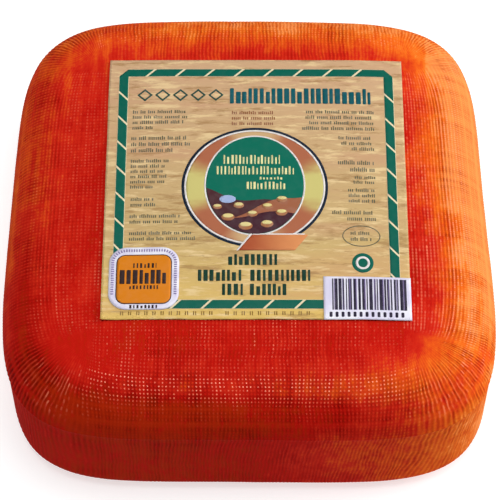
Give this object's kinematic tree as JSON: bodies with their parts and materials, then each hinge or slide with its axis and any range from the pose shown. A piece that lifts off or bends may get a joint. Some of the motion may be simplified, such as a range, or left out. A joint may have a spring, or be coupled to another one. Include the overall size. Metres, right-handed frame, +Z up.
{
  "type": "mahon cheese",
  "caption": "Square block of half-cured cheese with rounded edges, a woven cloth imprint on its paprika rind, and a paper label and stickers on its top.",
  "frame": {"origin": "middle of the foot that the cheese rests on, under the middle of the plan's bounding box", "axes": "+Z up out of the labelled top, -Y towards the front, +X to the right of the label"},
  "size_m": [0.2026, 0.202, 0.0719],
  "materials": {
    "rind": "oiled paprika rind with a satin sheen and the imprint of a woven cloth",
    "label_paper": "matt tan paper with a printed border and plain bars of colour",
    "square_sticker_paper": "coated paper, white rim round an orange field",
    "striped_sticker_paper": "coated white paper with dark upright bars"
  },
  "bodies": {
    "root": {"cheese": "rind", "label": "label_paper", "square_sticker": "square_sticker_paper", "striped_sticker": "striped_sticker_paper"}
  },
  "joints": []
}
